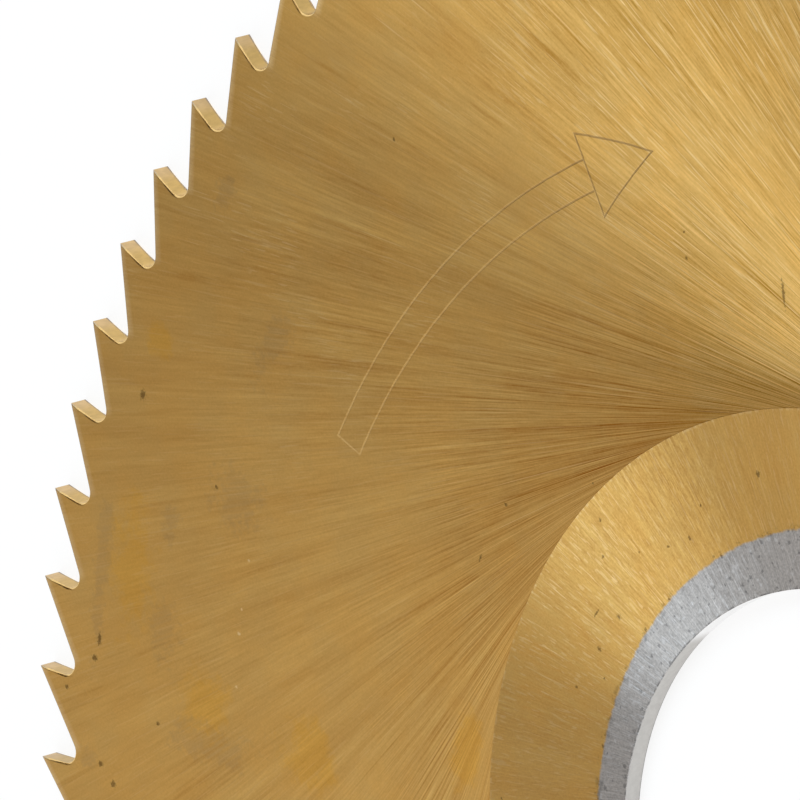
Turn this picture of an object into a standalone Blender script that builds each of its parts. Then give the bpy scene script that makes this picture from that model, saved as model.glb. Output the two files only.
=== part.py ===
"""Circular saw blade for metal: a thin slitting saw of coated high-speed steel, one solid piece.

The blade lies flat. +Z runs up its axis, the origin is the middle of the bore on the lower side,
and the point of the first tooth is on +X. Seen from above, the blade cuts clockwise.
"""

from math import cos, pi, radians, sin

import bmesh
import bpy
from mathutils import Matrix, Vector

# Driving dimensions, in metres and degrees
BLADE_DIAMETER = 0.100
BLADE_THICKNESS = 0.0010
BORE_DIAMETER = 0.027
BORE_EDGE_BREAK = 0.00005
HUB_DIAMETER = 0.0434
HOLLOW_DEPTH = 0.00006
HOLLOW_STEP_WIDTH = 0.00010

TEETH = 72
RAKE_ANGLE = 5.5
BACK_ANGLE = 33.0
GULLET_RADIUS = 0.00064

# How finely the round forms are divided
FACETS_PER_TOOTH = 2
GULLET_STEPS = 6

# How far the blank and the tooth cutter reach past the finished blade
OVERSIZE = 0.001

# Worked out from the sizes above
TIP_RADIUS = BLADE_DIAMETER / 2
BORE_RADIUS = BORE_DIAMETER / 2
HUB_RADIUS = HUB_DIAMETER / 2
HALF_THICKNESS = BLADE_THICKNESS / 2
HALF_WEB = HALF_THICKNESS - HOLLOW_DEPTH
WEB_START_RADIUS = HUB_RADIUS + HOLLOW_STEP_WIDTH
TOOTH_PITCH = 2 * pi / TEETH
FACETS = FACETS_PER_TOOTH * TEETH

GOLD_COATING = (0.42, 0.25, 0.07, 1.0)


def clear_scene():
    for obj in list(bpy.data.objects):
        bpy.data.objects.remove(obj, do_unlink=True)


def coated_steel():
    material = bpy.data.materials.new("gold_coated_steel")
    material.use_nodes = True
    shader = material.node_tree.nodes["Principled BSDF"]
    shader.inputs["Base Color"].default_value = GOLD_COATING
    shader.inputs["Metallic"].default_value = 1.0
    shader.inputs["Roughness"].default_value = 0.38
    return material


def add_object(name, bm):
    mesh = bpy.data.meshes.new(name)
    bm.to_mesh(mesh)
    bm.free()
    obj = bpy.data.objects.new(name, mesh)
    bpy.context.scene.collection.objects.link(obj)
    return obj


def side_height(radius):
    """Half the thickness in the hollow-ground zone, which is back to full at the tooth points."""
    along = (radius - WEB_START_RADIUS) / (TIP_RADIUS - WEB_START_RADIUS)
    return HALF_WEB + along * HOLLOW_DEPTH


def side_profile():
    """(radius, height) points of one side, from the bore out past the tooth points."""
    rim_radius = TIP_RADIUS + OVERSIZE
    return [
        (BORE_RADIUS, HALF_THICKNESS - BORE_EDGE_BREAK),
        (BORE_RADIUS + BORE_EDGE_BREAK, HALF_THICKNESS),
        (HUB_RADIUS, HALF_THICKNESS),
        (WEB_START_RADIUS, HALF_WEB),
        (rim_radius, side_height(rim_radius)),
    ]


def turned_blank():
    """The blank before its teeth are cut: bored, with a flat hub and hollow-ground sides."""
    upper = side_profile()
    lower = [(radius, -height) for radius, height in reversed(upper)]
    # The tooth points fall in the middle of facets, clear of the ridges between them
    turn = Matrix.Rotation(pi / FACETS, 3, "Z")
    bm = bmesh.new()
    loop = [bm.verts.new(turn @ Vector((radius, 0.0, height))) for radius, height in upper + lower]
    for start, end in zip(loop, loop[1:] + loop[:1]):
        bm.edges.new((start, end))
    blank = add_object("saw_blade", bm)
    screw = blank.modifiers.new("turning", "SCREW")
    screw.steps = FACETS
    screw.render_steps = FACETS
    screw.use_merge_vertices = True
    screw.merge_threshold = 0.000001
    return blank


def polar(radius, angle):
    return Vector((radius * cos(angle), radius * sin(angle)))


def gullet_arc(index):
    """Points of the round gullet between the back of one tooth and the rake face of the next."""
    angle = index * TOOTH_PITCH
    next_angle = angle + TOOTH_PITCH
    tip = polar(TIP_RADIUS, angle)
    next_tip = polar(TIP_RADIUS, next_angle)
    # Directions square to the two flats, pointing into the gullet
    off_back_angle = angle + radians(BACK_ANGLE)
    off_rake_angle = next_angle - pi / 2 - radians(RAKE_ANGLE)
    off_back = polar(1.0, off_back_angle)
    off_rake = polar(1.0, off_rake_angle)
    # The arc's centre lies one gullet radius off both flats
    back_distance = off_back.dot(tip) + GULLET_RADIUS
    rake_distance = off_rake.dot(next_tip) + GULLET_RADIUS
    cross = off_back.x * off_rake.y - off_back.y * off_rake.x
    centre = Vector(
        (
            (back_distance * off_rake.y - rake_distance * off_back.y) / cross,
            (rake_distance * off_back.x - back_distance * off_rake.x) / cross,
        )
    )
    first = off_back_angle + pi
    last = off_rake_angle + pi
    return [
        centre + polar(GULLET_RADIUS, first + (last - first) * step / GULLET_STEPS)
        for step in range(GULLET_STEPS + 1)
    ]


def tooth_outline():
    points = []
    for index in range(TEETH):
        points.append(polar(TIP_RADIUS, index * TOOTH_PITCH))
        points.extend(gullet_arc(index))
    return points


def tooth_cutter():
    """A prism of the toothed outline, thicker than the blade: what it keeps is the blade."""
    reach = HALF_THICKNESS + OVERSIZE
    bm = bmesh.new()
    face = bm.faces.new([bm.verts.new((point.x, point.y, -reach)) for point in tooth_outline()])
    grown = bmesh.ops.extrude_face_region(bm, geom=[face])["geom"]
    top = [item for item in grown if isinstance(item, bmesh.types.BMVert)]
    bmesh.ops.translate(bm, verts=top, vec=(0.0, 0.0, 2 * reach))
    bmesh.ops.recalc_face_normals(bm, faces=bm.faces)
    cutter = add_object("tooth_cutter", bm)
    cutter.hide_render = True
    cutter.display_type = "WIRE"
    return cutter


def shade_as_turned(obj):
    """Smooth round faces, with crisp edges where the grinding leaves them."""
    obj.data.shade_smooth()
    obj.data.set_sharp_from_angle(angle=radians(20))


def build_blade():
    blade = turned_blank()
    cutter = tooth_cutter()
    teeth = blade.modifiers.new("teeth", "BOOLEAN")
    teeth.operation = "INTERSECT"
    teeth.solver = "EXACT"
    teeth.object = cutter
    blade.data.materials.append(coated_steel())
    shade_as_turned(blade)
    for obj in (blade, cutter):
        obj.location.z = HALF_THICKNESS


clear_scene()
build_blade()
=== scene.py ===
"""Looks of the circular saw blade: a finely modelled blade, its ground and coated finish,
a pale floor, studio light and a camera at the photograph's angle. Sizes are in millimetres
until they reach Blender, which works in metres."""

from math import cos, hypot, pi, radians, sin, tan

import bmesh
import bpy
from mathutils import Matrix, Vector


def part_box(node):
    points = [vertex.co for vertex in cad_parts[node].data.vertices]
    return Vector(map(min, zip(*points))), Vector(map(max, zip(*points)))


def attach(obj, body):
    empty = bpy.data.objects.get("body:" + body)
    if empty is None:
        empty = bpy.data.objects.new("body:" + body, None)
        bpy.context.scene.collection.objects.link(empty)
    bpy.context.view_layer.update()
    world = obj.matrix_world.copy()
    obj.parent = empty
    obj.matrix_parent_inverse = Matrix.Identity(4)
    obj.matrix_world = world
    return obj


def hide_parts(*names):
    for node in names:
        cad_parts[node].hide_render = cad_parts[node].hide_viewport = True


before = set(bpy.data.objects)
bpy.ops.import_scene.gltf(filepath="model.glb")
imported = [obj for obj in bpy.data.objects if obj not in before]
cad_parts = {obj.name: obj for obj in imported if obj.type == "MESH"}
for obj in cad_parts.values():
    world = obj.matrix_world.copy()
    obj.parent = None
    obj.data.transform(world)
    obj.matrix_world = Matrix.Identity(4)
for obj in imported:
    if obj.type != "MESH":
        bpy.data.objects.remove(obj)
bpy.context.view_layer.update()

MM = 0.001
LOW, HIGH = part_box("saw_blade")

# The blade's own sizes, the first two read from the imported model
TIP_RADIUS = HIGH[0] / MM
THICKNESS = (HIGH[2] - LOW[2]) / MM
BORE_RADIUS = 13.5
HUB_RADIUS = 21.7
HOLLOW_DEPTH = 0.06
STEP_WIDTH = 0.10
TEETH = 72
RAKE_ANGLE = radians(5.5)
BACK_ANGLE = radians(33.0)
GULLET_RADIUS = 0.64

PITCH = 2 * pi / TEETH
HALF = THICKNESS / 2
WEB_START = HUB_RADIUS + STEP_WIDTH

# Rounding of the bore's edge, and its rings as shares of that: how far out from the bore they
# lie, how far they drop, and the finish between each and the next
EDGE_BREAK = 0.02
BORE_ROUNDING = (
    (0.0, 1.5, "bore"),
    (0.0, 1.0, "hub"),
    (0.3, 0.3, "hub"),
    (1.0, 0.0, "hub"),
    (1.5, 0.0, "hub"),
)
# Fine step at the hub's edge, and the width over which the web falls away to its full hollow
HUB_STEP = 0.02
HOLLOW_RUN = 3.0
# Rounding of the tooth edges, larger round the gullet and rake face than along the back, and
# its rings as shares of that: how far in from the outline they lie and how far they drop. The
# first and last stand on the flats, so that smooth shading bends nothing but the rounding
BACK_BREAK = 0.03
RAKE_BREAK = 0.06
ROUNDING = (
    (1.5, 0.0),
    (1.0, 0.0),
    (0.62, 0.08),
    (0.29, 0.29),
    (0.08, 0.62),
    (0.0, 1.0),
    (0.0, 1.5),
)
# Width of the zone beside the tooth backs in which the coating is rubbed thin, and how the
# wear fades over the first points of the gullet
RIM_BAND = 0.45
WEAR_FADE = (0.7, 0.4, 0.1)
RIM_ATTRIBUTE = "rim_wear"
# Radii of the round rings, and the rings between the last of them and the rim, as shares
HUB_RINGS = (13.8, 15.0, 17.0, 19.0, 20.5, 21.5)
WEB_RINGS = (22.3, 23.2, 24.7, 28.0, 34.0, 40.0, 45.0)
OUTER_SHARES = (0.35, 0.7)

# Points along one tooth gap, and where their columns stand on the root circle, in pitches
BACK_POINTS = 6
GULLET_POINTS = 10
RAKE_POINTS = 3
ROOT_OF_TIP = 0.30
ROOT_OF_BACK = 0.72
ROOT_OF_RAKE = 1.06

# Circles that the grinding lines touch, on the web and on the hub
GRIND_TOUCH_RADIUS = 21.3
HUB_TOUCH_RADIUS = 2.3

# The disc that masked the hub while the blade was coated lay a little off centre
MASK_ANGLE = -132.1
MASK_OFFSET = 1.27
MASK_RADIUS = 16.37


def polar(radius, angle):
    return Vector((radius * cos(angle), radius * sin(angle)))


class Field:
    """A number that varies over the surface. Arithmetic on it adds Math nodes to its tree."""

    def __init__(self, tree, source):
        self.tree = tree
        self.source = source

    def _math(self, operation, *others):
        node = self.tree.nodes.new("ShaderNodeMath")
        node.operation = operation
        for socket, value in zip(node.inputs, (self,) + others):
            plug(self.tree, socket, value)
        return Field(self.tree, node.outputs[0])

    def __add__(self, other):
        return self._math("ADD", other)

    __radd__ = __add__

    def __sub__(self, other):
        return self._math("SUBTRACT", other)

    def __rsub__(self, other):
        return self._math("MULTIPLY", -1.0) + other

    def __mul__(self, other):
        return self._math("MULTIPLY", other)

    __rmul__ = __mul__

    def __truediv__(self, other):
        return self._math("DIVIDE", other)

    def power(self, exponent):
        return self._math("POWER", exponent)

    def sine(self):
        return self._math("SINE")

    def cosine(self):
        return self._math("COSINE")

    def arcsine(self):
        return self._math("ARCSINE")

    def arccosine(self):
        return self._math("ARCCOSINE")

    def arctangent(self, across):
        return self._math("ARCTAN2", across)

    def size(self):
        return self._math("ABSOLUTE")

    def at_most(self, limit):
        return self._math("MINIMUM", limit)

    def at_least(self, limit):
        return self._math("MAXIMUM", limit)

    def ramp(self, low, high, start=0.0, end=1.0):
        """start where the field is low or less, end where it is high or more, smooth between."""
        node = self.tree.nodes.new("ShaderNodeMapRange")
        node.interpolation_type = "SMOOTHSTEP"
        plug(self.tree, node.inputs["Value"], self)
        names = ("From Min", "From Max", "To Min", "To Max")
        for name, value in zip(names, (low, high, start, end)):
            node.inputs[name].default_value = value
        return Field(self.tree, node.outputs["Result"])


def plug(tree, socket, value):
    if isinstance(value, Field):
        tree.links.new(value.source, socket)
    else:
        socket.default_value = value


def vector(tree, x, y, z):
    node = tree.nodes.new("ShaderNodeCombineXYZ")
    for socket, value in zip(node.inputs, (x, y, z)):
        plug(tree, socket, value)
    return Field(tree, node.outputs[0])


def noise(tree, place, scale=1.0, detail=2.0, roughness=0.5):
    """Soft noise between 0 and 1 around a half; scale is in steps per unit of place."""
    node = tree.nodes.new("ShaderNodeTexNoise")
    plug(tree, node.inputs["Vector"], place)
    node.inputs["Scale"].default_value = scale
    node.inputs["Detail"].default_value = detail
    node.inputs["Roughness"].default_value = roughness
    return Field(tree, node.outputs["Fac"])


def blend(tree, share, first, second, mode="MIX"):
    """Colours mixed by share; a colour is a field or three numbers."""
    node = tree.nodes.new("ShaderNodeMix")
    node.data_type = "RGBA"
    node.blend_type = mode
    plug(tree, node.inputs["Factor"], share)
    # The node's colour sockets come after those for numbers and vectors
    for socket, value in ((node.inputs[6], first), (node.inputs[7], second)):
        plug(tree, socket, value if isinstance(value, Field) else (*value, 1.0))
    return Field(tree, node.outputs[2])


class Place:
    """Where a point of the surface lies on the blade, in millimetres and radians."""

    def __init__(self, tree):
        self.tree = tree
        metres = tree.nodes.new("ShaderNodeTexCoord").outputs["Object"]
        scaled = tree.nodes.new("ShaderNodeVectorMath")
        scaled.operation = "SCALE"
        scaled.inputs["Scale"].default_value = 1 / MM
        tree.links.new(metres, scaled.inputs[0])
        self.point = Field(tree, scaled.outputs[0])
        split = tree.nodes.new("ShaderNodeSeparateXYZ")
        tree.links.new(scaled.outputs[0], split.inputs[0])
        self.x, self.y, self.z = (Field(tree, out) for out in split.outputs)
        self.radius = (self.x * self.x + self.y * self.y).power(0.5)
        self.angle = self.y.arctangent(self.x)
        self.upper = self.z.ramp(HALF - 0.1, HALF + 0.1)

    def sector(self, low, high):
        """Rises from 0 to 1 between two angles in degrees, and falls back on the far side."""
        far = self.angle.size().ramp(radians(120), radians(170), 1.0, 0.0)
        return self.angle.ramp(radians(low), radians(high)) * far

    def offset(self, angle, radius, across=1.0, along=1.0):
        """Distance from a place given by angle in degrees and radius, counted in ellipses of
        these half widths across and along the rim."""
        node = self.tree.nodes.new("ShaderNodeMapping")
        node.vector_type = "TEXTURE"
        plug(self.tree, node.inputs["Vector"], self.point)
        node.inputs["Location"].default_value = (*polar(radius, radians(angle)), HALF)
        node.inputs["Rotation"].default_value = (0.0, 0.0, radians(angle))
        # The third half width is so large that height hardly counts
        node.inputs["Scale"].default_value = (across, along, 1e3)
        length = self.tree.nodes.new("ShaderNodeVectorMath")
        length.operation = "LENGTH"
        self.tree.links.new(node.outputs[0], length.inputs[0])
        return Field(self.tree, length.outputs["Value"])

    def nearest(self, marks):
        """Distance from the nearest mark. A mark is angle, radius and two half widths."""
        offsets = [self.offset(*mark) for mark in marks]
        nearest = offsets[0]
        for offset in offsets[1:]:
            nearest = nearest.at_most(offset)
        return nearest

    def stains(self, marks, raggedness, seed):
        """Soft ragged blots on the upper side."""
        rag = (noise(self.tree, self.point, 0.55, 3.0, 0.6) - 0.5) * raggedness
        rag = rag + (noise(self.tree, self.point, 2.5 + seed, 2.0, 0.6) - 0.5) * raggedness * 0.5
        return (self.nearest(marks) + rag).ramp(0.45, 1.25, 1.0, 0.0) * self.upper

    def dots(self, marks):
        """Small sharp dots on the upper side."""
        rag = (noise(self.tree, self.point, 9.0, 1.0) - 0.5) * 2.0
        return (self.nearest(marks) + rag).ramp(0.4, 1.5, 1.0, 0.0) * self.upper

    def pits(self, spacing, size, share, seed):
        """Small scattered dots: about share of the cells of this spacing hold one."""
        node = self.tree.nodes.new("ShaderNodeTexVoronoi")
        shifted = self.tree.nodes.new("ShaderNodeVectorMath")
        shifted.operation = "ADD"
        plug(self.tree, shifted.inputs[0], self.point)
        shifted.inputs[1].default_value = (seed, seed, seed)
        self.tree.links.new(shifted.outputs[0], node.inputs["Vector"])
        node.inputs["Scale"].default_value = 1 / spacing
        split = self.tree.nodes.new("ShaderNodeSeparateXYZ")
        self.tree.links.new(node.outputs["Color"], split.inputs[0])
        chosen = Field(self.tree, split.outputs[0]).ramp(share - 0.01, share + 0.01, 1.0, 0.0)
        reach = Field(self.tree, split.outputs[1]).ramp(0.0, 1.0, 0.5 * size, size)
        distance = Field(self.tree, node.outputs["Distance"]) * spacing
        ragged = noise(self.tree, self.point, 10.0, 2.0, 0.6).ramp(0.3, 0.7, 0.6, 1.7)
        return (distance / reach * ragged).ramp(0.5, 1.1, 1.0, 0.0) * chosen


class Grooves:
    """Straight grinding lines that all touch a circle about the blade's axis.

    turn tells one line from the next, and slant is a line's angle off the radius."""

    def __init__(self, place, touch_radius):
        self.place = place
        share = place.radius.at_least(touch_radius).power(-1.0) * touch_radius
        self.turn = place.angle - share.arccosine()
        self.slant = share.arcsine()

    def streaks(self, fineness, length, seed, detail=2.0, roughness=0.5):
        """Noise drawn out along the lines: fineness in steps a radian, length in mm."""
        tree = self.place.tree
        along = self.place.radius / length + seed
        spot = vector(tree, self.turn.cosine() * fineness, self.turn.sine() * fineness, along)
        return noise(tree, spot, 1.0, detail, roughness)

    def scratches(self, fineness, length, seed, rarity):
        """Sharp sparse dashes along the lines; rarity from 0.6 to 0.85."""
        return self.streaks(fineness, length, seed, 0.0).ramp(rarity, rarity + 0.05)


def principled(name, roughness):
    material = bpy.data.materials.new(name)
    material.use_nodes = True
    tree = material.node_tree
    shader = tree.nodes["Principled BSDF"]
    shader.inputs["Metallic"].default_value = 1.0
    shader.inputs["Roughness"].default_value = roughness
    return material, tree, shader


def tint(tree, colour, shade):
    """A colour made lighter or darker by a field around 1."""
    return blend(tree, 1.0, colour, vector(tree, shade, shade, shade), "MULTIPLY")


def streaked(tree, colour, shade, red, blue):
    """A colour with fine streaks, in which red and blue follow green by these shares."""
    more = shade - 1.0
    streaks = vector(tree, more * red + 1.0, shade, more * blue + 1.0)
    return blend(tree, 1.0, colour, streaks, "MULTIPLY")


def ground_relief(tree, shader, height):
    """The grinding's own relief: height 1 stands one groove's depth above height 0."""
    node = tree.nodes.new("ShaderNodeBump")
    node.inputs["Distance"].default_value = GROOVE_DEPTH * MM
    plug(tree, node.inputs["Height"], height)
    tree.links.new(node.outputs["Normal"], shader.inputs["Normal"])


def ground_sheen(tree, shader, direction):
    """Stretches highlights across grooves that lie at direction, an angle off the radius."""
    tangent = tree.nodes.new("ShaderNodeTangent")
    tangent.direction_type = "RADIAL"
    tangent.axis = "Z"
    tree.links.new(tangent.outputs[0], shader.inputs["Tangent"])
    shader.inputs["Anisotropic"].default_value = GRIND_ANISOTROPY
    plug(tree, shader.inputs["Anisotropic Rotation"], direction / (2 * pi))


# Finishes in the order of the mesh's material slots
FINISHES = ("hub", "web", "bore", "tooth", "edge")

GOLD = (0.80, 0.483, 0.138)
DULL_GOLD = (0.77, 0.478, 0.146)
ORANGE_GOLD = (0.83, 0.47, 0.088)
SMOKE = (0.58, 0.37, 0.15)
PALE_GOLD = (1.0, 0.76, 0.38)
RIM_GOLD = (1.0, 0.72, 0.35)
TOOTH_GOLD = (0.67, 0.455, 0.165)
TIP_GOLD = (0.71, 0.5, 0.25)
STEEL = (0.56, 0.537, 0.517)
PALE_STEEL = (0.85, 0.85, 0.86)
BORE_STEEL = (0.58, 0.565, 0.54)
REFLECTION_WHITE = (0.98, 0.98, 0.98)
EDGE_GOLD = (1.0, 0.8, 0.42)
EDGE_STEEL = (0.52, 0.43, 0.35)
FOOT_DARK = (0.30, 0.245, 0.205)
GOLD_PIT = (0.15, 0.08, 0.02)
STEEL_PIT = (0.12, 0.12, 0.12)

GRIND_ROUGHNESS = 0.495
GRIND_ANISOTROPY = 0.92
GROOVE_DEPTH = 0.005
EDGE_ROUGHNESS = 0.85

# Marks on the upper side: angle in degrees, radius, half widths across and along the rim.
# Stains come first
ORANGE_STAINS = (
    (32.5, 44.6, 1.4, 3.4),
    (39.6, 39.4, 1.5, 1.9),
    (41.0, 33.0, 1.6, 1.8),
    (36.5, 23.2, 0.9, 1.8),
    (18.2, 46.0, 0.8, 1.0),
)
SMOKE_STAINS = (
    (24.5, 39.0, 1.7, 1.5),
    (35.8, 42.2, 0.9, 1.2),
    (28.4, 42.8, 0.6, 1.0),
    (13.2, 40.0, 0.8, 1.7),
    (42.5, 39.0, 2.6, 1.0),
    (34.0, 46.5, 0.5, 3.6),
    (7.5, 46.0, 0.5, 1.5),
    (44.6, 47.1, 0.5, 0.5),
)
# A duller patch in which the grinding lines hardly show
QUIET_PATCH = (-14.6, 35.2, 2.4, 1.9)
# Dark specks
SPECKS = (
    (38.7, 46.57, 0.17, 0.15),
    (37.5, 46.3, 0.10, 0.28),
    (40.8, 48.3, 0.10, 0.10),
    (44.9, 46.24, 0.12, 0.12),
    (46.0, 45.5, 0.13, 0.15),
    (41.7, 42.5, 0.09, 0.09),
    (22.0, 46.0, 0.15, 0.22),
    (24.6, 40.5, 0.08, 0.09),
    (-5.8, 40.7, 0.09, 0.08),
    (14.8, 25.0, 0.06, 0.16),
    (-39.9, 26.9, 0.60, 0.08),
    (7.5, 25.05, 0.08, 0.08),
    (-28.7, 28.99, 0.08, 0.06),
    (-29.2, 30.14, 0.06, 0.06),
)
# Bright nicks where a grain struck through the coating
NICKS = (
    (28.3, 37.7, 0.08, 0.06),
    (32.0, 37.7, 0.06, 0.06),
    (33.8, 37.7, 0.09, 0.07),
    (37.7, 37.6, 0.08, 0.07),
)

# Dark specks on the hub
HUB_SPECKS = (
    (-2.2, 20.68, 0.08, 0.08),
    (1.0, 19.44, 0.07, 0.08),
    (-14.9, 17.27, 0.12, 0.06),
    (-10.3, 17.52, 0.07, 0.07),
    (5.6, 17.05, 0.12, 0.10),
    (8.3, 18.13, 0.05, 0.20),
    (12.6, 17.13, 0.13, 0.08),
    (-31.7, 18.86, 0.12, 0.11),
    (20.6, 17.54, 0.07, 0.07),
    (-19.5, 18.32, 0.06, 0.06),
)

# A plain arrow in the way of turning stands in the place of the engraved lettering
ARROW_RADIUS = 34.0
ARROW_TAIL = radians(15)
ARROW_NECK = radians(-21)
ARROW_POINT = radians(-28)
ARROW_SHAFT_WIDTH = 1.5
ARROW_HEAD_WIDTH = 4.0
ARROW_LINE = 0.045


def arrow_lines(place):
    """1 on the fine engraved outline of the arrow."""
    along = (ARROW_TAIL - place.angle) * ARROW_RADIUS
    aside = (place.radius - ARROW_RADIUS).size()
    neck = (ARROW_TAIL - ARROW_NECK) * ARROW_RADIUS
    point = (ARROW_TAIL - ARROW_POINT) * ARROW_RADIUS
    shaft = (aside - ARROW_SHAFT_WIDTH / 2).at_least(along - neck).at_least(along * -1.0)
    slope = ARROW_HEAD_WIDTH / 2 / (point - neck)
    head = (aside - (point - along) * slope) / hypot(1.0, slope)
    outside = shaft.at_most(head.at_least(neck - along))
    shake = (noise(place.tree, place.point, 1.2, 2.0) - 0.5) * ARROW_LINE
    return (outside + shake).size().ramp(ARROW_LINE * 0.6, ARROW_LINE * 1.4, 1.0, 0.0) * place.upper


def rim_wear(tree):
    """From 0 to 1 on the tooth edges and beside them, as the mesh carries it."""
    node = tree.nodes.new("ShaderNodeAttribute")
    node.attribute_name = RIM_ATTRIBUTE
    return Field(tree, node.outputs["Fac"])


def ground_gold(tree, place):
    """The coating's own colour, a little uneven."""
    mottle = noise(tree, place.point, 0.35, 4.0, 0.6)
    return blend(tree, mottle.ramp(0.36, 0.64), DULL_GOLD, GOLD)


class WebZones:
    """Where the web's grinding differs: coarse inner zone, one quiet patch, a fade towards the
    teeth, and the key lamp's sheen and dim sides, where the marks are painted stronger and fainter."""

    def __init__(self, place):
        self.inner = place.radius.ramp(HUB_RADIUS, HUB_RADIUS + 10.0, 1.0, 0.0)
        self.dim_zone = place.sector(8, 24)
        self.sheen_zone = 1.0 - place.sector(-30, -12)
        self.quiet = place.offset(*QUIET_PATCH).ramp(0.6, 1.3, 0.5, 0.0) * place.upper
        self.faded = place.radius.ramp(38.0, 47.0, 1.0, 0.65)


def web_shade(place, grooves, zones, long, short):
    """Light and dark of the web's grinding, around 1."""
    broad = grooves.streaks(22, 12.0, 3.0, 3.0, 0.7)
    grain = noise(place.tree, place.point, 9.0, 1.0)
    patchy = noise(place.tree, place.point, 0.3, 2.0).ramp(0.38, 0.62, 0.5, 1.3)
    # The marks are painted fainter on the side where the key lamp's sheen is dim
    depth = (0.45 + zones.inner * 0.55 - zones.dim_zone * 0.2) * zones.faded * (1.0 - zones.quiet)
    shade = 1.0 + (broad - 0.5) * zones.faded * 0.6 + (long - 0.5) * depth * patchy * 1.6
    shade = shade + (short - 0.5) * depth + (grain - 0.5) * 0.2

    # Darker near the hub on one side and at its brim; towards the teeth on the other, the key
    # lamp's side, painted shade that dims the lamp's sheen
    inner_dark = zones.inner * place.sector(-38, -20) * (0.15 - place.sector(12, 28) * 0.08)
    brim = place.radius.ramp(22.0, 23.4, 1.0, 0.0) * (1.0 - place.sector(-15, 0))
    outer_dark = place.radius.ramp(32.0, 42.0) * (0.13 - place.sector(-25, 0) * 0.11)
    shade = shade - inner_dark - brim * 0.13 - outer_dark - zones.quiet * 0.1

    # Dark marks, painted stronger where the key lamp's sheen falls
    dark_lines = grooves.streaks(120, 6.0, 41.0, 0.0).ramp(0.22, 0.34, 1.0, 0.0)
    fine_dark_lines = grooves.streaks(260, 4.0, 67.0, 0.0).ramp(0.22, 0.3, 1.0, 0.0)
    dark_dashes = grooves.scratches(400, 1.6, 83.0, 0.68)
    shade = shade - dark_lines * (zones.inner * 0.2 + 0.08 + zones.sheen_zone * 0.06)
    shade = shade - fine_dark_lines * zones.sheen_zone * 0.14
    return shade - dark_dashes * (0.04 + zones.sheen_zone * 0.14)


def web_scratches(place, grooves, zones):
    """How much of the pale scratches covers the coating: clumps of dashes, lone scratches,
    long lines and crisp short ones."""
    clumps = noise(place.tree, place.point, 0.25, 2.0).ramp(0.52, 0.66)
    # Scratches painted stronger where the key lamp's sheen falls and fainter where it is dim
    dashes = grooves.scratches(400, 0.9, 5.0, 0.66) * clumps * (1.0 - zones.dim_zone * 0.7)
    lone = grooves.scratches(420, 2.5, 17.0, 0.79) * (1.0 - zones.dim_zone * 0.8)
    lines = grooves.scratches(260, 4.5, 53.0, 0.72)
    lines = lines * (zones.inner * 0.2 + 0.14 + zones.sheen_zone * 0.2 - zones.dim_zone * 0.12)
    crisp = grooves.scratches(400, 1.6, 73.0, 0.68) * (0.1 + zones.sheen_zone * 0.4)
    return (dashes * 0.3 + lone * 0.35 + (lines + crisp) * (1.0 - zones.quiet)).at_most(1.0)


def web_finish():
    """Hollow-ground, coated web: long straight grooves that leave the hub along its edge."""
    material, tree, shader = principled("web_gold", GRIND_ROUGHNESS)
    place = Place(tree)
    grooves = Grooves(place, GRIND_TOUCH_RADIUS)
    zones = WebZones(place)
    long = grooves.streaks(190, 7.0, 11.0, 2.0, 0.6)
    short = grooves.streaks(330, 0.8, 29.0, 2.0, 0.65)
    worn = rim_wear(tree)
    arrow = arrow_lines(place)

    colour = ground_gold(tree, place)
    orange = place.stains(ORANGE_STAINS, 2.2, 0.0)
    colour = blend(tree, orange * 0.75, colour, ORANGE_GOLD)
    smoke = place.stains(SMOKE_STAINS, 3.2, 0.7) * (long.ramp(0.3, 0.6) * 0.3 + 0.14)
    colour = blend(tree, smoke, colour, SMOKE)
    colour = blend(tree, worn, colour, RIM_GOLD)
    shade = web_shade(place, grooves, zones, long, short)
    # The streaks' colour is painted to shift where the key lamp's sheen falls
    colour = streaked(tree, colour, shade, 0.66 + zones.sheen_zone * 0.1, 1.42 + zones.sheen_zone * 0.2)
    colour = blend(tree, web_scratches(place, grooves, zones), colour, PALE_GOLD)
    colour = blend(tree, arrow * short.ramp(0.3, 0.6, 0.12, 0.3), colour, PALE_GOLD)
    specks = place.dots(SPECKS).at_least(place.pits(3.2, 0.07, 0.3, 4.0))
    colour = blend(tree, specks * 0.7, colour, GOLD_PIT)
    colour = blend(tree, place.dots(NICKS) * 0.8, colour, PALE_GOLD)
    plug(tree, shader.inputs["Base Color"], colour)

    rough = GRIND_ROUGHNESS + (long - 0.5) * 0.12 + (short - 0.5) * 0.1 + worn * 0.08
    plug(tree, shader.inputs["Roughness"], rough)
    # Small corrections of the grooves' direction beside the hub and towards the teeth
    swing = place.radius.ramp(32.0, 46.0, 0.0, radians(2.0))
    swing = swing - place.radius.ramp(22.0, 24.0) * place.radius.ramp(24.0, 30.0, radians(4.0), 0.0)
    wander = (long - 0.5) * 0.14 + (short - 0.5) * 0.12 + arrow * radians(25)
    ground_sheen(tree, shader, grooves.slant + swing + wander)
    ground_relief(tree, shader, long * 0.5 + short * 0.3 - arrow)
    return material


def hub_shade(place, grooves, long, short, bare, sheen_zone):
    """Light and dark of the hub's grinding, around 1, deepest on the bare steel."""
    broad = grooves.streaks(22, 20.0, 3.0, 1.0)
    grain = noise(place.tree, place.point, 9.0, 1.0)
    patchy = noise(place.tree, place.point, 0.5, 2.0).ramp(0.38, 0.62, 0.6, 1.3)
    # Painted deeper where the key lamp's sheen falls
    depth = 0.4 + sheen_zone * 0.2 + bare * 0.35
    shade = 1.0 + (broad - 0.5) * 0.25 + (long - 0.5) * depth * patchy * (1.15 - bare * 0.5)
    return shade + (short - 0.5) * depth * 1.1 + (grain - 0.5) * (0.3 + bare * 0.35)


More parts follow.
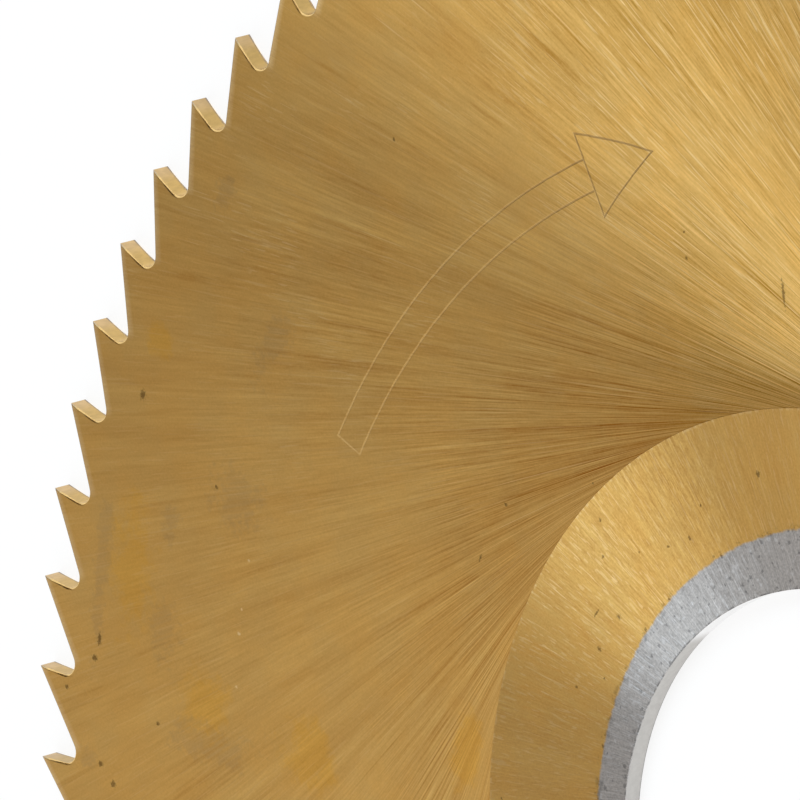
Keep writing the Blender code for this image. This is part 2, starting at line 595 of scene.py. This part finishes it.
def hub_dark_marks(place, bare, border):
    """How dark the hub's pits and specks, the nicks round the bore and the ring's border are."""
    crowded = place.pits(0.34, 0.13, 0.42, 9.0) * bare.at_least(border)
    pits = place.pits(1.3, 0.10, 0.5, 4.0).at_least(crowded).at_least(place.dots(HUB_SPECKS))
    inner_edge = place.radius.ramp(BORE_RADIUS + 0.04, BORE_RADIUS + 0.1, 1.0, 0.0)
    nicks = noise(place.tree, place.point, 2.2, 3.0, 0.7).ramp(0.46, 0.56) * inner_edge
    burnt = noise(place.tree, place.point, 2.2, 4.0, 0.7).ramp(0.5, 0.66) * border
    return (pits * (0.65 - bare * 0.15)).at_least(nicks * 0.6).at_least(burnt * 0.4)


def hub_finish():
    """Flat hub land: near-radial grinding, coated outside the round mask and bare within it."""
    material, tree, shader = principled("hub_gold_and_steel", GRIND_ROUGHNESS)
    place = Place(tree)
    grooves = Grooves(place, HUB_TOUCH_RADIUS)
    long = grooves.streaks(190, 3.5, 11.0, 2.0, 0.6)
    short = grooves.streaks(210, 0.5, 29.0, 2.0, 0.65)
    wavy = (noise(tree, place.point, 2.6, 4.0, 0.65) - 0.5) * 0.3
    past_mask = place.offset(MASK_ANGLE, MASK_OFFSET) + wavy - MASK_RADIUS
    bare = past_mask.ramp(-0.08, 0.08, 1.0, 0.0)
    border = past_mask.size().ramp(0.1, 0.35, 1.0, 0.0)
    # Marks painted strongest where the key lamp's sheen falls, in the middle of the part the camera
    # sees
    sheen_zone = place.sector(-10, 0) * (1.0 - place.sector(12, 22) * 0.4)

    shade = hub_shade(place, grooves, long, short, bare, sheen_zone)
    gold = streaked(tree, ground_gold(tree, place), shade, 0.6, 1.42)
    colour = blend(tree, bare, gold, tint(tree, STEEL, shade))
    dashes = grooves.scratches(230, 0.6, 17.0, 0.65) * (0.6 + sheen_zone * 0.5)
    lone = grooves.scratches(260, 2.5, 23.0, 0.73)
    # Painted glints along the hub's outer edge and on the bare steel
    outer_edge = place.radius.ramp(HUB_RADIUS - 0.15, HUB_RADIUS - 0.05)
    glints = grooves.streaks(90, 0.6, 37.0, 1.0).ramp(0.5, 0.62) * outer_edge
    steel_glints = place.pits(0.4, 0.16, 0.4, 14.0) * bare
    pale = (dashes * 0.4 + lone * 0.4 + glints * 0.35 + steel_glints * 0.4).at_most(1.0)
    colour = blend(tree, pale, colour, blend(tree, bare, PALE_GOLD, PALE_STEEL))
    dark = hub_dark_marks(place, bare, border)
    colour = blend(tree, dark, colour, blend(tree, bare, GOLD_PIT, STEEL_PIT))
    plug(tree, shader.inputs["Base Color"], colour)

    # The scratches are a little rougher than the grinding between them
    rough = GRIND_ROUGHNESS + (long - 0.5) * 0.14 + (short - 0.5) * 0.25
    plug(tree, shader.inputs["Roughness"], rough + dashes * 0.07 + lone * 0.12)
    wander = (long - 0.5) * 0.2 + (short - 0.5) * 0.3
    ground_sheen(tree, shader, grooves.slant + wander)
    ground_relief(tree, shader, long * 0.5 + short * 0.3)
    return material


def bore_finish():
    """Bare ground wall of the bore: a painted floor reflection on one half, painted shade at the
    foot.
    """
    material, tree, shader = principled("bore_steel", 0.4)
    place = Place(tree)
    shade = noise(tree, place.point, 3.0, 3.0, 0.6).ramp(0.3, 0.7, 0.95, 1.04)
    # Painted shade: the wall is drawn darker towards its foot
    foot = place.z.ramp(0.02, 0.08, 0.5, 1.0)
    # Painted reflection: one half of the wall is drawn near white, where the light floor shows in
    # it
    floor_reflection = 1.0 - place.sector(-7, -2)
    colour = blend(tree, floor_reflection, tint(tree, BORE_STEEL, shade * foot), REFLECTION_WHITE)
    plug(tree, shader.inputs["Base Color"], colour)
    return material


def tooth_finish():
    """Coated rake faces, tooth backs and gullets, paler at the tip, with a painted gullet
    highlight.
    """
    material, tree, shader = principled("tooth_gold", 0.36)
    place = Place(tree)
    marks = noise(tree, vector(tree, place.x * 5.0, place.y * 5.0, place.z * 2.0), 1.0, 2.0)
    # Random marks, and a painted highlight at the bottom of the gullet
    shade = marks.ramp(0.3, 0.7, 0.92, 1.05) + place.radius.ramp(48.3, 48.6, 0.1, 0.0)
    near_tip = place.radius.ramp(49.0, 49.8)
    # Painted shade: teeth outside the band from 9 to 37 degrees are drawn up to 12 % darker
    shade = shade * (0.88 + place.sector(4, 9) * 0.12 - place.sector(37, 46) * 0.1)
    colour = tint(tree, blend(tree, near_tip, TOOTH_GOLD, TIP_GOLD), shade)
    # Darker towards the foot of the tooth walls
    foot = place.z.ramp(0.05, 0.16)
    plug(tree, shader.inputs["Base Color"], blend(tree, foot, FOOT_DARK, colour))
    return material


def edge_finish():
    """Rounded edges of the teeth: coated round the gullet, rubbed to grey along the back."""
    material, tree, shader = principled("edge_worn", EDGE_ROUGHNESS)
    worn = rim_wear(tree)
    plug(tree, shader.inputs["Roughness"], EDGE_ROUGHNESS - worn * 0.35)
    plug(tree, shader.inputs["Base Color"], blend(tree, worn, EDGE_GOLD, EDGE_STEEL))
    return material


def gullet_centre(tip, next_tip, off_back, off_rake):
    """Where the gullet's round lies: one gullet radius off both flats of the tooth gap."""
    back, rake = polar(1.0, off_back), polar(1.0, off_rake)
    back_distance = back.dot(tip) + GULLET_RADIUS
    rake_distance = rake.dot(next_tip) + GULLET_RADIUS
    cross = back.x * rake.y - back.y * rake.x
    return Vector(
        (
            (back_distance * rake.y - rake_distance * back.y) / cross,
            (rake_distance * back.x - back_distance * rake.x) / cross,
        )
    )


def tooth_gap():
    """Outline points of the first tooth gap: tooth point, back, round gullet and rake face."""
    tip = polar(TIP_RADIUS, 0.0)
    next_tip = polar(TIP_RADIUS, PITCH)
    off_back = BACK_ANGLE
    off_rake = PITCH - pi / 2 - RAKE_ANGLE
    centre = gullet_centre(tip, next_tip, off_back, off_rake)
    arc = [
        centre
        + polar(GULLET_RADIUS, off_back + pi + (off_rake - off_back) * step / GULLET_POINTS)
        for step in range(GULLET_POINTS + 1)
    ]
    back = [tip + (arc[0] - tip) * step / BACK_POINTS for step in range(BACK_POINTS)]
    rake = [arc[-1] + (next_tip - arc[-1]) * step / RAKE_POINTS for step in range(1, RAKE_POINTS)]
    return back + arc + rake


def whole_outline():
    gap = tooth_gap()
    return [
        Matrix.Rotation(index * PITCH, 2) @ point for index in range(TEETH) for point in gap
    ]


def root_angles():
    """Angles of the same columns on the round part of the blade, where each tooth's point
    stands over the middle of its root, so that no face folds across a gap."""
    ends = (ROOT_OF_TIP, ROOT_OF_BACK, ROOT_OF_RAKE, 1.0 + ROOT_OF_TIP)
    shares = []
    for (start, end), count in zip(zip(ends, ends[1:]), (BACK_POINTS, GULLET_POINTS, RAKE_POINTS)):
        shares += [start + (end - start) * step / count for step in range(count)]
    return [(index + share) * PITCH for index in range(TEETH) for share in shares]


def drawn_in(outline, amounts):
    """The outline with each point moved into the material by its amount, square to the sides."""
    count = len(outline)
    moved = []
    for index, point in enumerate(outline):
        before = (point - outline[index - 1]).normalized()
        after = (outline[(index + 1) % count] - point).normalized()
        # The outline runs anticlockwise, so the material is on its left
        left_before = Vector((-before.y, before.x))
        left_after = Vector((-after.y, after.x))
        middle = (left_before + left_after).normalized()
        moved.append(point + middle * (amounts[index] / middle.dot(left_before)))
    return moved


def web_height(radius):
    """Half the thickness beyond the hub, thinnest near it and full at the tooth points."""
    along = (radius - WEB_START) / (TIP_RADIUS - WEB_START)
    run = min(1.0, (radius - HUB_RADIUS) / HOLLOW_RUN)
    start = HUB_STEP / HOLLOW_DEPTH
    return HALF - HOLLOW_DEPTH * (1 - along) * (start + (1 - start) * run)


def outline_wear():
    """How worn each point of the outline is: fully on the tooth backs, not on the rake faces."""
    gap = [1.0] * (BACK_POINTS + 1) + list(WEAR_FADE)
    gap += [0.0] * (BACK_POINTS + GULLET_POINTS + RAKE_POINTS - len(gap))
    return gap * TEETH


def upper_rings():
    """Rings of points from the bore's wall out to the tooth wall. Each comes with the name of
    the finish between it and the next, and how worn the rim is there."""
    angles = root_angles()
    outline = whole_outline()
    rings = []

    def ring(radius, height, finish):
        points = [(*polar(radius, angle), height) for angle in angles]
        rings.append((points, finish, [0.0] * len(points)))

    def rim(points, drops, finish, wear):
        heights = [web_height(at.length) - drop for at, drop in zip(points, drops)]
        rings.append(([(*at, height) for at, height in zip(points, heights)], finish, wear))

    for outward, drop, finish in BORE_ROUNDING:
        ring(BORE_RADIUS + EDGE_BREAK * outward, HALF - EDGE_BREAK * drop, finish)
    for radius in HUB_RINGS:
        ring(radius, HALF, "hub")
    ring(HUB_RADIUS, HALF, "web")
    ring(HUB_RADIUS + HUB_STEP, HALF - HUB_STEP, "web")
    for radius in WEB_RINGS:
        ring(radius, web_height(radius), "web")
    root = [polar(WEB_RINGS[-1], angle) for angle in angles]
    band = [high + (low - high).normalized() * RIM_BAND for low, high in zip(root, outline)]
    level = [0.0] * len(outline)
    for share in (*OUTER_SHARES, 1.0):
        rim([low.lerp(high, share) for low, high in zip(root, band)], level, "web", level)
    worn = outline_wear()
    breaks = [RAKE_BREAK + (BACK_BREAK - RAKE_BREAK) * wear for wear in worn]
    for inward, drop in ROUNDING:
        points = drawn_in(outline, [inward * amount for amount in breaks])
        drops = [drop * amount for amount in breaks]
        finish = "web" if inward > 1.0 else "edge" if inward > 0.0 else "tooth"
        rim(points, drops, finish, worn)
    return rings


def blade_mesh():
    upper = upper_rings()
    # A strip has the finish of the ring nearer the bore, on both sides of the blade
    names = [finish for points, finish, wear in upper]
    strips = names + list(reversed(names[:-1])) + ["bore"]
    rings = [(points, 1, wear) for points, finish, wear in upper]
    rings += [(points, -1, wear) for points, side, wear in reversed(rings)]
    bm = bmesh.new()
    rim_layer = bm.verts.layers.float.new(RIM_ATTRIBUTE)
    rows = []
    for points, side, wear in rings:
        row = [bm.verts.new((x * MM, y * MM, (z * side + HALF) * MM)) for x, y, z in points]
        for vert, share in zip(row, wear):
            vert[rim_layer] = share
        rows.append(row)
    count = len(rows[0])
    for index, row in enumerate(rows):
        following = rows[(index + 1) % len(rows)]
        for column in range(count):
            beside = (column + 1) % count
            face = bm.faces.new((row[column], following[column], following[beside], row[beside]))
            face.material_index = FINISHES.index(strips[index])
    mesh = bpy.data.meshes.new("ground_saw_blade")
    bm.to_mesh(mesh)
    bm.free()
    mesh.shade_smooth()
    mesh.set_sharp_from_angle(angle=radians(30))
    return mesh


def build_blade():
    blade = bpy.data.objects.new("ground_saw_blade", blade_mesh())
    bpy.context.scene.collection.objects.link(blade)
    for finish in (hub_finish, web_finish, bore_finish, tooth_finish, edge_finish):
        blade.data.materials.append(finish())
    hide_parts("saw_blade")
    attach(blade, "root")


# Camera: where it looks on the blade's upper side, and from where
AIM = (32.2, 4.7)
CAMERA_DISTANCE = 865.2
CAMERA_AZIMUTH = radians(-28.4)
CAMERA_ELEVATION = radians(45.48)
CAMERA_ROLL = radians(-104.7)
CAMERA_LENS = 856.5
SENSOR_WIDTH = 36.0


def build_camera():
    camera_data = bpy.data.cameras.new("camera")
    camera_data.sensor_width = SENSOR_WIDTH
    camera_data.lens = CAMERA_LENS
    camera_data.clip_start = 0.01
    camera_data.clip_end = 20.0
    camera = bpy.data.objects.new("camera", camera_data)
    bpy.context.scene.collection.objects.link(camera)
    back = Vector(
        (
            sin(CAMERA_AZIMUTH) * cos(CAMERA_ELEVATION),
            -cos(CAMERA_AZIMUTH) * cos(CAMERA_ELEVATION),
            sin(CAMERA_ELEVATION),
        )
    )
    right = Vector((cos(CAMERA_AZIMUTH), sin(CAMERA_AZIMUTH), 0.0))
    up = back.cross(right)
    place = (Vector((*AIM, THICKNESS)) + back * CAMERA_DISTANCE) * MM
    turned = Matrix((right, up, back)).transposed().to_4x4()
    roll = Matrix.Rotation(CAMERA_ROLL, 4, "Z")
    camera.matrix_world = Matrix.Translation(place) @ turned @ roll
    bpy.context.scene.camera = camera


WORLD_COLOUR = (1.06, 1.0, 0.95)
WORLD_STRENGTH = 0.27

# Round soft lamps, this many metres off: azimuth, elevation and half angle in degrees,
# brightness and colour
LAMP_DISTANCE = 2.5
LAMPS = {
    "key": (-50.0, 45.0, 23.0, 3.2, (0.89, 1.0, 1.09)),
    "fill": (136.0, 49.0, 50.0, 0.65, (1.0, 1.0, 1.0)),
}


def build_world():
    world = bpy.data.worlds.new("studio")
    world.use_nodes = True
    background = world.node_tree.nodes["Background"]
    background.inputs["Color"].default_value = (*WORLD_COLOUR, 1.0)
    background.inputs["Strength"].default_value = WORLD_STRENGTH
    bpy.context.scene.world = world


def build_lamps():
    for name, (azimuth, elevation, half_angle, brightness, colour) in LAMPS.items():
        radius = LAMP_DISTANCE * tan(radians(half_angle))
        data = bpy.data.lights.new(name, "AREA")
        data.shape = "DISK"
        data.size = 2 * radius
        # A disc of this brightness gives off pi times its area in power
        data.energy = brightness * pi * pi * radius**2
        data.color = colour
        lamp = bpy.data.objects.new(name, data)
        bpy.context.scene.collection.objects.link(lamp)
        level = cos(radians(elevation))
        towards = Vector(
            (cos(radians(azimuth)) * level, sin(radians(azimuth)) * level, sin(radians(elevation)))
        )
        lamp.location = towards * LAMP_DISTANCE
        lamp.rotation_euler = towards.to_track_quat("Z", "Y").to_euler()


# Floor: how far below the blade it lies, half its width in metres, its grey, and the grey and
# glow of the white paper that the camera and the reflections see in its place
FLOOR_DROP = 0.02
FLOOR_REACH = 2.0
FLOOR_GREY = 0.8
PAPER_GREY = 0.25
PAPER_GLOW = 0.78
PAPER_RAYS = ("Is Camera Ray", "Is Glossy Ray", "Is Transmission Ray")


def matt_grey(tree, grey):
    node = tree.nodes.new("ShaderNodeBsdfDiffuse")
    node.inputs["Color"].default_value = (grey, grey, grey, 1.0)
    return node


def floor_finish():
    """Grey where it only lights the blade, white paper with the blade's shadow where it is seen."""
    material = bpy.data.materials.new("floor_white")
    material.use_nodes = True
    tree = material.node_tree
    tree.nodes.clear()
    glow = tree.nodes.new("ShaderNodeEmission")
    glow.inputs["Strength"].default_value = PAPER_GLOW
    paper = tree.nodes.new("ShaderNodeAddShader")
    tree.links.new(matt_grey(tree, PAPER_GREY).outputs[0], paper.inputs[0])
    tree.links.new(glow.outputs[0], paper.inputs[1])
    path = tree.nodes.new("ShaderNodeLightPath")
    camera, glossy, transmission = (Field(tree, path.outputs[name]) for name in PAPER_RAYS)
    mix = tree.nodes.new("ShaderNodeMixShader")
    plug(tree, mix.inputs[0], (camera + glossy + transmission).at_most(1.0))
    tree.links.new(matt_grey(tree, FLOOR_GREY).outputs[0], mix.inputs[1])
    tree.links.new(paper.outputs[0], mix.inputs[2])
    output = tree.nodes.new("ShaderNodeOutputMaterial")
    tree.links.new(mix.outputs[0], output.inputs["Surface"])
    return material


def build_floor():
    bm = bmesh.new()
    bmesh.ops.create_grid(bm, x_segments=1, y_segments=1, size=FLOOR_REACH)
    mesh = bpy.data.meshes.new("floor")
    bm.to_mesh(mesh)
    bm.free()
    mesh.materials.append(floor_finish())
    floor = bpy.data.objects.new("floor", mesh)
    floor.location.z = -FLOOR_DROP * MM
    bpy.context.scene.collection.objects.link(floor)


build_blade()
build_floor()
build_world()
build_lamps()
build_camera()
bpy.context.scene.view_settings.view_transform = "Standard"
